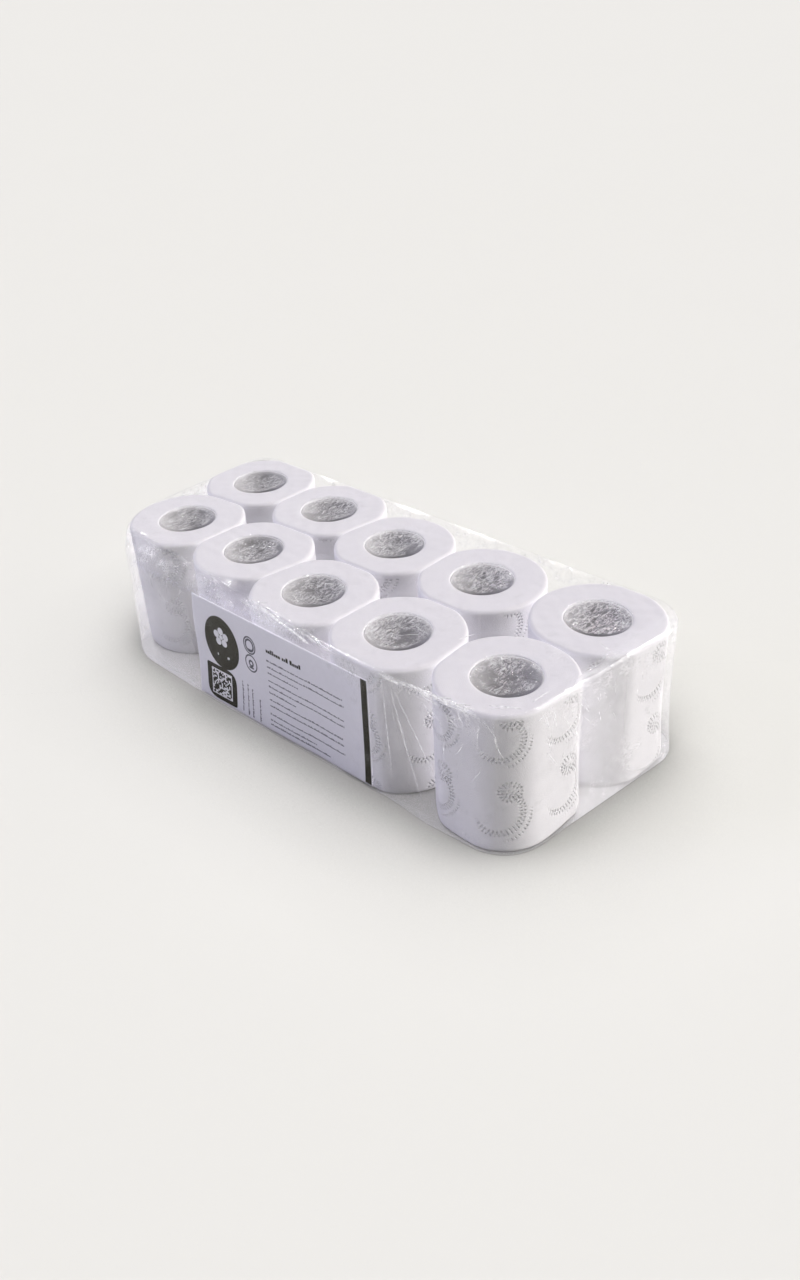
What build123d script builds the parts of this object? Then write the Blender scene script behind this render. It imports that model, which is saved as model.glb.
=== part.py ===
from build123d import *
import math
import os

# A film-wrapped pack of ten toilet paper rolls, standing on end in two rows of five.
# Units are millimetres. +X runs along the rows, -Y is the label side, +Z is up.
# The origin is on the floor, under the middle of the pack.

# Rolls and cores
roll_diameter = 91.0      # a roll that nothing presses on
roll_width = 100.0        # sheet width, so the height of a standing roll
core_diameter = 45.0      # outside of the cardboard tube
core_wall = 1.0
core_fit = 0.1            # radial gap between the tube and the innermost turn
rim_round = 1.5           # softened edge at both ends of a roll
corner_radius = 12.0      # how sharply the wound paper can turn between two flats
paper_gap = 0.1           # gap between two pieces of paper that are pressed together

# How the rolls are packed
rolls_per_row = 5
roll_press = 7.0          # how much shorter the pitch along a row is than a free roll
row_press = 6.0           # the same between the two rows
# How far each roll was pushed off the regular grid, (x, y), left to right
front_shifts = [(6, 5), (4, 6), (1, -6), (-1, -6), (0, 1)]
back_shifts = [(-3, 2), (-2, 3), (-4, -6), (-4, -4), (3, 5)]

# Film
film_wall = 0.25
film_clearance = 0.2      # between the film's inside and what it wraps
film_squeeze = 4.0        # how far the tight film presses the outer rolls in
film_edge_round = 1.5     # top and bottom edges of the envelope
least_bend = 0.05         # smallest radius of any bend in the film's line
# The film's bends at the pack's corners: centre measured from the corner roll's, and radius
left_front_bend = ((12, 1), 60)
right_front_bend = ((4, -9), 33)
right_back_bend = ((15, 15), 30)
left_back_bend = ((-24, 20), 20)

# Label leaf, standing between the front rolls and the film
label_length = 178.5
label_thickness = 0.2
label_headroom = 11.5     # its top edge stays this far below the tops of the rolls
label_lift = 0.5          # above the film's rounded bottom edge
label_middle = 4.25       # its middle, measured along it from the middle roll
label_turn = 1.7          # degrees: its left end stands further out
label_squeeze = 1.2       # how far it presses the middle front roll in

# Worked-out sizes
roll_radius = roll_diameter / 2
core_radius = core_diameter / 2
roll_pitch = roll_diameter - roll_press
row_pitch = roll_diameter - row_press
roll_floor = film_wall
pack_height = roll_floor + roll_width + film_wall
film_bend = roll_radius - film_squeeze + film_clearance + film_wall
label_foot = film_edge_round + label_lift
label_height = roll_floor + roll_width - label_headroom - label_foot
label_pocket = label_thickness / 2 + film_clearance + film_wall


def row_centres(side, shifts):
    """Centres of one row's rolls: the regular grid plus each roll's own shift."""
    first = -(rolls_per_row - 1) / 2 * roll_pitch
    return [
        Vector(first + i * roll_pitch + shifts[i][0], side * row_pitch / 2 + shifts[i][1])
        for i in range(rolls_per_row)
    ]


front_centres = row_centres(-1, front_shifts)
back_centres = row_centres(1, back_shifts)
centres = front_centres + back_centres
film_bends = [
    (front_centres[0] + Vector(*left_front_bend[0]), left_front_bend[1]),
    (front_centres[-1] + Vector(*right_front_bend[0]), right_front_bend[1]),
    (back_centres[-1] + Vector(*right_back_bend[0]), right_back_bend[1]),
    (back_centres[0] + Vector(*left_back_bend[0]), left_back_bend[1]),
] + [(c, film_bend) for c in front_centres[1:-1] + back_centres[1:-1]]

# The label's inner face presses on the middle front roll and looks along outward_label.
middle_roll = front_centres[rolls_per_row // 2]
along_label = Vector(math.cos(math.radians(label_turn)), math.sin(math.radians(label_turn)))
outward_label = Vector(along_label.Y, -along_label.X)
label_inner_point = middle_roll + outward_label * (roll_radius - label_squeeze + paper_gap)
label_centre = label_inner_point + along_label * label_middle + outward_label * (label_thickness / 2)
label_ends = [label_centre + along_label * (side * label_length / 2) for side in (-1, 1)]

# The film's shoulder is the flat slope from the label's top left corner up to the rims of the
# second and fourth front rolls, because the rolls at the left stand behind the label.
second_rim = front_centres[1] - Vector(0, roll_radius)
fourth_rim = front_centres[3] - Vector(0, film_bend)
label_corner = label_ends[0] + outward_label * label_pocket
shoulder_points = [
    Vector(second_rim.X, second_rim.Y, pack_height),
    Vector(fourth_rim.X, fourth_rim.Y, pack_height),
    Vector(label_corner.X, label_corner.Y, label_foot + label_height),
]


def half_plane(point, outward):
    """A large square face that ends at point and lies on the side away from outward."""
    size = 2 * rolls_per_row * roll_diameter
    turn = math.degrees(math.atan2(outward.Y, outward.X))
    middle = point - outward * (size / 2)
    return Pos(middle.X, middle.Y) * Rot(0, 0, turn) * Rectangle(size, size)


def film_outline(inset):
    """The tight line round all rolls and the label's ends, moved in by inset."""
    edges = [Pos(c.X, c.Y) * Edge.make_circle(radius - inset) for c, radius in film_bends]
    end_bend = max(label_pocket - inset, least_bend)
    for end in label_ends:
        place = end - outward_label * (end_bend + inset - label_pocket)
        edges.append(Pos(place.X, place.Y) * Edge.make_circle(end_bend))
    return make_hull(edges)


def shoulder_cut(inset):
    """The block above the shoulder's slope, with the slope moved in by inset."""
    along = shoulder_points[1] - shoulder_points[0]
    down = shoulder_points[2] - shoulder_points[0]
    outward = down.cross(along).normalized()
    slope = Plane(shoulder_points[0] - outward * inset, x_dir=along, z_dir=outward)
    size = 2 * rolls_per_row * roll_diameter
    return slope * Box(size, size, size, align=(Align.CENTER, Align.CENTER, Align.MIN))


def roll_outline(centre):
    """A circle pressed flat by its neighbours, the label and the film, with round corners."""
    outline = Pos(centre.X, centre.Y) * Circle(roll_radius - corner_radius)
    for other in centres:
        between = other - centre
        if 0 < between.length < roll_diameter + paper_gap:
            outward = between.normalized()
            flat = centre + between / 2 - outward * (paper_gap / 2 + corner_radius)
            outline &= half_plane(flat, outward)
    outline &= half_plane(label_inner_point - outward_label * (paper_gap + corner_radius), outward_label)
    outline &= film_outline(film_wall + film_clearance + corner_radius)
    return offset(outline, corner_radius, kind=Kind.ARC)


def make_roll(centre):
    """One roll: the pressed outline, standing on the film, softened rims and its bore."""
    body = Pos(0, 0, roll_floor) * extrude(roll_outline(centre), roll_width)
    rims = body.edges().group_by(Axis.Z)
    body = fillet(rims[0] + rims[-1], rim_round)
    bore = Pos(centre.X, centre.Y, roll_floor) * extrude(Circle(core_radius + core_fit), roll_width)
    return body - bore - shoulder_cut(film_wall + film_clearance)


def make_core(centre):
    """One cardboard tube, as long as its roll is wide."""
    ring = Circle(core_radius) - Circle(core_radius - core_wall)
    return Pos(centre.X, centre.Y, roll_floor) * extrude(ring, roll_width)


def film_form(inset):
    """The envelope's closed form, moved in by inset on every side."""
    form = Pos(0, 0, inset) * extrude(film_outline(inset), pack_height - 2 * inset)
    rims = form.edges().group_by(Axis.Z)
    form = fillet(rims[0] + rims[-1], film_edge_round - inset)
    return form - shoulder_cut(inset)


def make_film():
    """The clear envelope: one closed shell of even wall."""
    return film_form(0) - film_form(film_wall)


def make_label():
    """A flat paper leaf that stands on its long edge."""
    leaf = Box(label_length, label_thickness, label_height)
    middle_height = label_foot + label_height / 2
    return Pos(label_centre.X, label_centre.Y, middle_height) * Rot(0, 0, label_turn) * leaf


def write(shape, name):
    """Write one node, moved so that the pack's middle is over the origin."""
    export_step(Pos(-pack_middle.X, -pack_middle.Y) * shape, "parts/" + name + ".step")


os.makedirs("parts", exist_ok=True)
pack_middle = film_outline(0).bounding_box().center()
for row, row_places in (("front", front_centres), ("back", back_centres)):
    for number, place in enumerate(row_places, start=1):
        write(make_roll(place), f"roll_{row}_{number}")
        write(make_core(place), f"core_{row}_{number}")
write(make_label(), "label")
write(make_film(), "film_wrap")
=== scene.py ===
import math

import bpy
import numpy as np
from bpy.props import FloatProperty, FloatVectorProperty, IntProperty, PointerProperty
from bpy.types import Operator, Panel, PropertyGroup
from mathutils import Matrix, Vector


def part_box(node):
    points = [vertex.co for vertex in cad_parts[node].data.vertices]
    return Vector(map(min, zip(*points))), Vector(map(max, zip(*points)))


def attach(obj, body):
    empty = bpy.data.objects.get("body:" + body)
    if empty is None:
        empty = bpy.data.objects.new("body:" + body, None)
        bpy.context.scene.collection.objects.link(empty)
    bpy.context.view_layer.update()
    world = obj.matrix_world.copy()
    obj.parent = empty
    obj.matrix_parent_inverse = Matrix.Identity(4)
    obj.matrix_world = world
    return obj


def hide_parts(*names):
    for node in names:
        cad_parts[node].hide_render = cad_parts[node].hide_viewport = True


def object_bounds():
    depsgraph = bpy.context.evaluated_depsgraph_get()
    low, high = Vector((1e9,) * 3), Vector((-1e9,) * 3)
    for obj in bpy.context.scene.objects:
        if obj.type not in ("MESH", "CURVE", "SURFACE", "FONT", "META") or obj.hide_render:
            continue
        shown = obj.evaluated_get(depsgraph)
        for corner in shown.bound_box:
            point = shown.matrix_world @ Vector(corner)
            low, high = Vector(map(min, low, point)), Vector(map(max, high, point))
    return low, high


bl_info = {
    "name": "Wrapped Toilet Roll Pack",
    "version": (1, 0, 0),
    "blender": (4, 5, 0),
    "location": "3D View > Sidebar > Roll Pack",
    "description": "Builds the rolls, cores, label and clear film of a wrapped pack",
    "category": "Add Mesh",
}

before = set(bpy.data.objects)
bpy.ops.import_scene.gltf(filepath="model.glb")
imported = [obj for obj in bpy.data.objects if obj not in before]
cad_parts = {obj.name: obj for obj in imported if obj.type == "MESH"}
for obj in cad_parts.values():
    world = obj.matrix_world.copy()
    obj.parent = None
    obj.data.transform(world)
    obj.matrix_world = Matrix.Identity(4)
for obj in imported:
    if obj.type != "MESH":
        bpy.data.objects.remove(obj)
CAD_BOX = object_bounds()

MM = 0.001
FULL_TURN = 2 * math.pi
UP = np.array([0.0, 0.0, 1.0])

ROWS = ("front", "back")
ROLLS_PER_ROW = 5
ROLL_NAMES = [f"roll_{row}_{n}" for row in ROWS for n in range(1, ROLLS_PER_ROW + 1)]
CORE_NAMES = [name.replace("roll", "core") for name in ROLL_NAMES]
END_ROLLS = [f"roll_{row}_{ROLLS_PER_ROW}" for row in ROWS]

CORE_WALL = 1.0 * MM
CORE_FIT = 0.1 * MM  # between a core and the first turn of its roll
CAD_RIM = 1.5 * MM  # radius of a roll's rims in the CAD model
SPREAD_WAY = np.array([0.8, -0.6])  # where the feet of the end rolls stand out to
SPREAD_RISE = 60 * MM  # how far up that shows

# The embossing, in pitches. One pitch is the step from ring to ring round a roll, and RING_RISE
# the step up it. Each lattice has its shift (right, up) and its rings of dots, each as radius,
# count of dots, height, the angle that its open arc faces and half of that arc.
RING_RISE = 1.18
RING_WIDTH = 0.017
LARGE_RINGS = (
    (0.315, 37, 1.0, -0.5, 1.9),
    (0.365, 43, 0.9, -0.5, 1.7),
    (0.46, 55, 0.8, -0.7, 0.6),
)
SMALL_RINGS = (
    (0.150, 17, 0.9, 0.0, 4.0),
    (0.098, 11, 0.8, 0.0, 4.0),
)
RING_LATTICES = (((0.0, 0.0), LARGE_RINGS), ((0.17, 0.32), SMALL_RINGS))


# ---------------------------------------------------------------- reading the frame


def box_of(node):
    """Lowest and highest corner of a CAD node as two arrays."""
    low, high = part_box(node)
    return np.array(low), np.array(high)


def middle_of(node):
    """The middle of a CAD node's box."""
    low, high = box_of(node)
    return (low + high) / 2


def points_of(node):
    """All vertices of a CAD node, one row each."""
    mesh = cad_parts[node].data
    found = np.empty(len(mesh.vertices) * 3)
    mesh.vertices.foreach_get("co", found)
    return found.reshape(-1, 3)


def from_cores(points):
    """How far each point lies from the middle line of the nearest core."""
    centres = np.array([middle_of(core)[:2] for core in CORE_NAMES])
    return np.linalg.norm(points[:, None, :2] - centres[None], axis=2).min(axis=1)


def last_front_gap():
    """Where, along X, the front row's last two rolls meet."""
    return (middle_of("core_front_4") + middle_of("core_front_5"))[0] / 2


# ---------------------------------------------------------------- curves and steps


def rays(angles):
    """Unit vectors in the floor plane at these angles."""
    return np.stack([np.cos(angles), np.sin(angles)], axis=-1)


def convex_reach(points, centre, angles):
    """How far a convex outline reaches from centre along each angle.

    The outline is the crossing of half planes, one for each direction. Each stands as far out
    as the furthest point in that direction, and a ray ends at the first half plane it meets.
    """
    directions = rays(np.linspace(0, FULL_TURN, 1440, endpoint=False))
    stand = ((points[:, :2] - centre) @ directions.T).max(axis=0)
    facing = rays(angles) @ directions.T
    least = 0.02  # a half plane that a ray meets at a flatter angle doesn't count
    return np.where(facing > least, stand / np.maximum(facing, least), np.inf).min(axis=1)


def smooth_loop(values, spread):
    """A closed run of values, each averaged with its neighbours by a bell curve."""
    steps = np.arange(-3 * spread, 3 * spread + 1)
    bell = np.exp(-((steps / spread) ** 2) / 2)
    shifted = [np.roll(values, s, axis=0) * b for s, b in zip(steps, bell)]
    return sum(shifted) / bell.sum()


def smooth_step(low, high, value):
    """0 at low, 1 at high, an even curve between, and level beyond; low may be the larger."""
    t = np.clip((value - low) / (high - low), 0, 1)
    return t * t * (3 - 2 * t)


def foot_share(z):
    """How much of the feet's spread shows at height z: all at the floor, none higher up."""
    return np.clip(1 - z / SPREAD_RISE, 0, 1) ** 2


def ripple(points, seed, waves, shortest, longest):
    """A smooth random height from about -1 to 1: a sum of plane waves in random directions."""
    rng = np.random.default_rng(seed)
    total = np.zeros(len(points))
    for _ in range(waves):
        direction = rng.normal(size=points.shape[1])
        direction /= np.linalg.norm(direction)
        length = math.exp(rng.uniform(math.log(shortest), math.log(longest)))
        total += np.sin(points @ direction * FULL_TURN / length + rng.uniform(0, FULL_TURN))
    return total / math.sqrt(waves) / 1.5


def crease(points, start, end, width, height):
    """A ridge along a straight run: a bell across it, fading out at both of its ends."""
    run = end - start
    t = np.clip((points - start) @ run / np.linalg.norm(run) ** 2, 0, 1)
    away = np.linalg.norm(points - start - t[:, None] * run, axis=1)
    fade = np.sin(np.pi * t) ** 0.7
    return height * fade * np.exp(-((away / width) ** 2))


# ---------------------------------------------------------------- making meshes


def quads_mesh(name, points, quads, maps, materials, faces_of_second=None):
    """A mesh object from points, four-cornered faces and a UV pair for each face corner."""
    mesh = bpy.data.meshes.new(name)
    mesh.vertices.add(len(points))
    mesh.vertices.foreach_set("co", points.ravel())
    mesh.loops.add(quads.size)
    mesh.loops.foreach_set("vertex_index", quads.ravel())
    mesh.polygons.add(len(quads))
    mesh.polygons.foreach_set("loop_start", np.arange(len(quads)) * 4)
    mesh.polygons.foreach_set("use_smooth", np.ones(len(quads), bool))
    mesh.uv_layers.new(name="surface")
    mesh.uv_layers["surface"].uv.foreach_set("vector", maps.ravel())
    for material in materials:
        mesh.materials.append(material)
    if faces_of_second is not None:
        mesh.polygons.foreach_set("material_index", faces_of_second.astype(np.int32))
    mesh.update(calc_edges=True)
    mesh.validate()
    piece = bpy.data.objects.new(name, mesh)
    bpy.context.scene.collection.objects.link(piece)
    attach(piece, "root")
    return piece


def add_attribute(piece, title, values):
    """Puts one number on each vertex, for the piece's material to read."""
    layer = piece.data.attributes.new(title, "FLOAT", "POINT")
    layer.data.foreach_set("value", values.astype(np.float32))


def grid_faces(rows, columns, wrap_rows=False, wrap_columns=False):
    """Corner indices of a grid's faces, and the unwrapped row and column of each corner."""
    r = np.arange(rows if wrap_rows else rows - 1)
    c = np.arange(columns if wrap_columns else columns - 1)
    r, c = [a.ravel() for a in np.meshgrid(r, c, indexing="ij")]
    corner_rows = np.stack([r, r + 1, r + 1, r], axis=1)
    corner_columns = np.stack([c, c, c + 1, c + 1], axis=1)
    quads = (corner_rows % rows) * columns + corner_columns % columns
    return quads, corner_rows, corner_columns


class Patches:
    """Many small grids of faces, gathered into one mesh."""

    def __init__(self):
        self.points, self.quads, self.count = [], [], 0

    def take(self, points, quads):
        """Adds one grid: its points, and its faces as indices into them."""
        points = points.reshape(-1, 3)
        self.points.append(points)
        self.quads.append(quads + self.count)
        self.count += len(points)

    def piece(self, name, material, slot):
        """The mesh object of all the grids, with x and z as its UV map."""
        points = np.concatenate(self.points)
        quads = np.concatenate(self.quads)
        made = quads_mesh(name, points, quads, points[quads][..., [0, 2]], [material])
        return made


# ---------------------------------------------------------------- shader building


class Tree:
    """Adds nodes to a node tree. An input given as a socket is linked, any other is set."""

    def __init__(self, tree):
        self.tree = tree

    def put(self, socket, value):
        if isinstance(value, bpy.types.NodeSocket):
            self.tree.links.new(value, socket)
        else:
            socket.default_value = value

    def add(self, kind, inputs=None, **settings):
        node = self.tree.nodes.new(kind)
        for key, value in settings.items():
            setattr(node, key, value)
        for key, value in (inputs or {}).items():
            self.put(node.inputs[key], value)
        return node

    def math(self, operation, *values):
        node = self.add("ShaderNodeMath", dict(enumerate(values)), operation=operation)
        return node.outputs[0]

    def square(self, value):
        return self.math("MULTIPLY", value, value)

    def noise(self, vector, scale, detail=2.0, roughness=0.5, distortion=0.0):
        values = {
            "Vector": vector, "Scale": scale, "Detail": detail,
            "Roughness": roughness, "Distortion": distortion,
        }
        return self.add("ShaderNodeTexNoise", values).outputs["Fac"]

    def mix_colour(self, factor, first, second):
        node = self.add("ShaderNodeMix", data_type="RGBA")
        colours = [socket for socket in node.inputs if socket.type == "RGBA"]
        for socket, value in zip((node.inputs[0], *colours), (factor, first, second)):
            self.put(socket, value)
        return [socket for socket in node.outputs if socket.type == "RGBA"][0]

    def mix_shader(self, factor, first, second):
        return self.add("ShaderNodeMixShader", {0: factor, 1: first, 2: second}).outputs[0]

    def ramp(self, value, low, high):
        """0 at low and 1 at high, with an even curve between."""
        node = self.add(
            "ShaderNodeMapRange",
            {"Value": value, "From Min": low, "From Max": high},
            interpolation_type="SMOOTHSTEP",
        )
        return node.outputs["Result"]

    def bump(self, height, distance, strength=1.0, normal=None):
        values = {"Height": height, "Distance": distance, "Strength": strength}
        if normal is not None:
            values["Normal"] = normal
        return self.add("ShaderNodeBump", values).outputs["Normal"]

    def surface_map(self):
        return self.add("ShaderNodeUVMap", uv_map="surface").outputs["UV"]

    def object_place(self):
        return self.add("ShaderNodeTexCoord").outputs["Object"]

    def attribute(self, title):
        return self.add("ShaderNodeAttribute", attribute_name=title).outputs["Fac"]

    def group(self, group, inputs):
        return self.add("ShaderNodeGroup", inputs, node_tree=group).outputs

    def fibre(self, grain):
        """The height and the tone of paper fibre with this many grains a metre."""
        found = self.group(paper_fibre(), {"Vector": self.object_place(), "Grain": grain})
        return found["Height"], found["Tone"]

    def finish(self, shader, output):
        self.tree.links.new(shader, output.inputs[0])

    def principled(self, output, values):
        """A Principled shader with these inputs, joined to the material's output."""
        self.finish(self.add("ShaderNodeBsdfPrincipled", values).outputs[0], output)


def new_material(name):
    """A node material with only its output, and a Tree to build the rest."""
    material = bpy.data.materials.new(name)
    material.use_nodes = True
    material.node_tree.nodes.clear()
    tree = Tree(material.node_tree)
    return material, tree, tree.add("ShaderNodeOutputMaterial")


def tint(colour, share=1.0):
    """A colour with four channels, its red, green and blue brought to this share."""
    return (*(share * channel for channel in colour), 1.0)


def surface_group(name, results, **amounts):
    """Turns a function that fills a node group into one that gives the group, built only once.

    The group takes a Vector and these named amounts, and puts out the named results. The
    function gets a Tree and the group's inputs, and returns a socket for each result.
    """
    def wrap(fill):
        def shared():
            if name in bpy.data.node_groups:
                return bpy.data.node_groups[name]
            group = bpy.data.node_groups.new(name, "ShaderNodeTree")
            faces = group.interface
            faces.new_socket("Vector", in_out="INPUT", socket_type="NodeSocketVector")
            for title, default in amounts.items():
                socket = faces.new_socket(title, in_out="INPUT", socket_type="NodeSocketFloat")
                socket.default_value = default
            for title in results:
                faces.new_socket(title, in_out="OUTPUT", socket_type="NodeSocketFloat")
            t = Tree(group)
            given, result = t.add("NodeGroupInput").outputs, t.add("NodeGroupOutput")
            for title, value in zip(results, fill(t, given)):
                t.put(result.inputs[title], value)
            return group

        shared.__doc__ = fill.__doc__
        return shared

    return wrap


@surface_group("Paper fibre", ("Height", "Tone"), Grain=900.0)
def paper_fibre(t, given):
    """Node group: the soft fibre and crepe of tissue or board, as a height and a tone."""
    vector, grain = given["Vector"], given["Grain"]
    fine = t.noise(vector, grain, detail=3.0, roughness=0.65)
    coarse = t.noise(vector, t.math("MULTIPLY", grain, 0.12), detail=2.0, roughness=0.5)
    return t.math("MULTIPLY_ADD", coarse, 0.5, fine), coarse


@surface_group("Dotted rings", ("Height",))
def dotted_rings(t, given):
    """Node group: an embossed lattice of large broken rings and small whole rings, all of dots.

    One unit of the vector is one pitch round the roll. A dot is where a wave counted round the
    ring and a bell across it both peak. A large ring fades out where it faces away from its
    open side, which is a step down on both sides of the angle that it faces.
    """
    parts = t.add("ShaderNodeSeparateXYZ", {0: given["Vector"]}).outputs
    half_rise = RING_RISE / 2
    total = None
    for (right, up), rings in RING_LATTICES:
        x = t.math("WRAP", t.math("SUBTRACT", parts[0], right), 0.5, -0.5)
        y = t.math("WRAP", t.math("SUBTRACT", parts[1], up), half_rise, -half_rise)
        away = t.math("SQRT", t.math("MULTIPLY_ADD", x, x, t.square(y)))
        turn = t.math("ARCTAN2", y, x)
        for radius, dots, gain, facing, reach in rings:
            across = t.math("DIVIDE", t.math("SUBTRACT", away, radius), RING_WIDTH)
            bell = t.math("EXPONENT", t.math("MULTIPLY", t.square(across), -1.0))
            wave = t.math("COSINE", t.math("MULTIPLY", turn, float(dots)))
            dot = t.math("MULTIPLY", bell, t.math("MAXIMUM", wave, 0.0))
            off = t.math("WRAP", t.math("SUBTRACT", turn, facing), math.pi, -math.pi)
            open_arc = t.ramp(t.math("ABSOLUTE", off), reach + 0.3, reach - 0.3)
            dot = t.math("MULTIPLY", dot, t.math("MULTIPLY", open_arc, gain))
            total = dot if total is None else t.math("ADD", total, dot)
    return (total,)


@surface_group("Film crinkles", ("Lines", "Height"), Loose=0.5)
def film_crinkles(t, given):
    """Node group: thin bright creases of crumpled film, as a mask and a height.

    Each of four layers is a stretched noise, turned its own way. A crease lies where the noise
    crosses its middle value, and a broad cloud noise gathers the creases in patches, which
    grow where the film is loose.
    """
    vector, loose = given["Vector"], given["Loose"]
    stretch = (1.0, 0.3, 0.7)
    layers = (  # turn, creases a metre, width of a crease
        ((0.3, 0.2, 0.5), 340.0, 0.026),
        ((1.1, -0.5, 1.9), 430.0, 0.032),
        ((-0.6, 0.8, -1.2), 260.0, 0.016),
        ((0.1, 0.1, 2.6), 520.0, 0.036),
    )
    lines = None
    for turn, scale, width in layers:
        values = {"Vector": vector, "Rotation": turn, "Scale": stretch}
        mapped = t.add("ShaderNodeMapping", values).outputs[0]
        field = t.noise(mapped, scale, detail=2.0, roughness=0.55, distortion=0.9)
        away = t.math("ABSOLUTE", t.math("SUBTRACT", field, 0.5))
        layer = t.math("SUBTRACT", 1.0, t.ramp(away, 0.0, width))
        lines = layer if lines is None else t.math("MAXIMUM", lines, layer)
    cloud = t.noise(vector, 55.0, detail=2.0, roughness=0.6)
    edge = t.math("MULTIPLY_ADD", loose, -0.34, 0.72)
    patches = t.ramp(t.math("SUBTRACT", cloud, edge), -0.12, 0.12)
    crumple = t.noise(vector, 130.0, detail=3.0, roughness=0.65, distortion=1.2)
    height = t.math("MULTIPLY_ADD", lines, 0.12, crumple)
    return t.math("MULTIPLY", lines, patches), height


# ---------------------------------------------------------------- settings


def length_setting(name, description, default):
    return FloatProperty(name=name, description=description, default=default, unit="LENGTH")


def share_setting(name, description, default):
    return FloatProperty(name=name, description=description, default=default, min=0, max=1)


def power_setting(name, description, default):
    return FloatProperty(name=name, description=description, default=default, min=0)


def colour_setting(name, description, default):
    return FloatVectorProperty(
        name=name, description=description, default=default, subtype="COLOR", size=3, min=0, max=1
    )


class RollSettings(PropertyGroup):
    tissue_colour: colour_setting("Tissue", "Colour of the paper", (0.675, 0.664, 0.693))
    turn_step: length_setting("Tail step", "Height of the loose tail over its turn", 0.25 * MM)
    quilt_depth: length_setting("Quilt depth", "Relief of the embossed rings", 0.03 * MM)
    rings_round: IntProperty(
        name="Rings round", description="Embossed rings round one roll", default=6, min=1
    )
    foot_spread: length_setting("Foot spread", "How far the right feet stand out", 7.0 * MM)
    soft_rim: length_setting("Soft rim", "Radius that the rims are worn to", 2.6 * MM)
    rim_wave: length_setting("Rim wave", "How uneven the cut ends of the turns are", 0.2 * MM)


class CoreSettings(PropertyGroup):
    board_colour: colour_setting("Board", "Colour of the cardboard", (0.30, 0.29, 0.30))
    ply_width: length_setting("Ply width", "Width of the wound strip of board", 38 * MM)


class FilmSettings(PropertyGroup):
    gap_sag: length_setting("Gap sag", "How deep the film dips between rolls", 2.2 * MM)
    bore_sag: length_setting("Bore sag", "How deep the film dips over a core", 0.8 * MM)
    wrinkle: length_setting("Wrinkle", "Height of the film's wrinkles", 0.35 * MM)
    haze: share_setting("Haze", "Milkiness of clear film", 0.02)


class LabelSettings(PropertyGroup):
    paper_colour: colour_setting("Paper", "Colour of the label", (0.635, 0.626, 0.682))
    ink_colour: colour_setting("Ink", "Colour of the dark print", (0.012, 0.010, 0.004))
    text_colour: colour_setting("Fine print", "Colour of the fine lines", (0.085, 0.083, 0.10))
    lean: length_setting("Lean", "How far the left end's foot stands out", 1.6 * MM)
    foot: length_setting("Foot", "How far the foot bulges over the whole length", 1.6 * MM)
    shear: length_setting("Shear", "How far each end leans along the label", 5.0 * MM)


class StageSettings(PropertyGroup):
    floor_colour: colour_setting("Floor", "Colour of the floor", (0.693, 0.694, 0.662))
    # The share of the floor's colour kept in the painted contact shadow right under the pack.
    contact_shade: share_setting("Contact shade", "Floor brightness right under the pack", 0.36)
    top_power: power_setting("Top", "Strength of the soft light overhead", 2.64)
    key_power: power_setting("Key", "Strength of the light from behind", 3.6)
    fill_power: power_setting("Fill", "Strength of the light from the front", 1.2)
    sky_power: power_setting("Sky", "Strength of the even light", 0.02)
    reflected_sky: power_setting("Reflected sky", "Sky seen straight and in the film", 0.85)


SETTINGS = {
    "pack_rolls": RollSettings,
    "pack_cores": CoreSettings,
    "pack_film": FilmSettings,
    "pack_label": LabelSettings,
    "pack_stage": StageSettings,
}


# ---------------------------------------------------------------- cores


def board_material(settings):
    """Grey board, wound as a strip, with the strip's butted edge as a dark helical line."""
    material, t, output = new_material("Grey core board")
    parts = t.add("ShaderNodeSeparateXYZ", {0: t.surface_map()}).outputs
    height, tone = t.fibre(1400.0)
    base = settings.board_colour
    helix = t.math("ADD", parts[0], t.math("DIVIDE", parts[1], settings.ply_width))
    seam = t.ramp(t.math("ABSOLUTE", t.math("WRAP", helix, 0.5, -0.5)), 0.0, 0.02)
    board = t.mix_colour(t.ramp(tone, 0.2, 0.8), tint(base, 0.9), tint(base))
    board = t.mix_colour(seam, tint(base, 0.72), board)
    height = t.math("MULTIPLY_ADD", seam, 1.5, height)
    relief = t.bump(height, 0.15 * MM, 0.7)
    t.principled(output, {"Base Color": board, "Roughness": 0.9, "Normal": relief})
    return material


def core_piece(node, number, settings, material):
    """A tube turned from its wall's profile, with rounded ends and the strip's small step.

    Each point is at the profile's radius and height, turned about the tube's middle line. The
    inner radius has the strip's step, which runs round the tube as a helix.
    """
    turns, rises = 96, 24
    below_rim, soft_end, step = 1.2 * MM, 0.25 * MM, 0.12 * MM
    start = number * 0.37  # of a turn, so that no two seams stand alike
    low, high = box_of(node)
    middle = (low + high) / 2
    outer = (high[0] - low[0]) / 2
    heights = np.linspace(low[2], high[2] - below_rim, rises)
    radii = np.concatenate([np.full(rises, outer - CORE_WALL), np.full(rises, outer)])
    levels = np.concatenate([heights, heights[::-1]])
    levels[[0, -1]] += soft_end
    levels[[rises - 1, rises]] -= soft_end
    angles = np.linspace(0, FULL_TURN, turns, endpoint=False)
    turn, column = np.meshgrid(angles, np.arange(2 * rises), indexing="ij")
    level = levels[column]
    helix = (turn / FULL_TURN + level / settings.ply_width + start) % 1.0
    radius = radii[column] + np.where(column < rises, step * smooth_step(0.0, 0.04, helix), 0)
    x = middle[0] + radius * np.cos(turn)
    y = middle[1] + radius * np.sin(turn)
    points = np.stack([x, y, level], axis=-1).reshape(-1, 3)
    quads, corner_rows, corner_columns = grid_faces(turns, 2 * rises, True, True)
    u = corner_rows / turns + start
    v = levels[corner_columns % (2 * rises)]
    piece = quads_mesh(node + "_tube", points, quads, np.stack([u, v], axis=-1), [material])
    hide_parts(node)
    return piece


# ---------------------------------------------------------------- rolls


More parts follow.
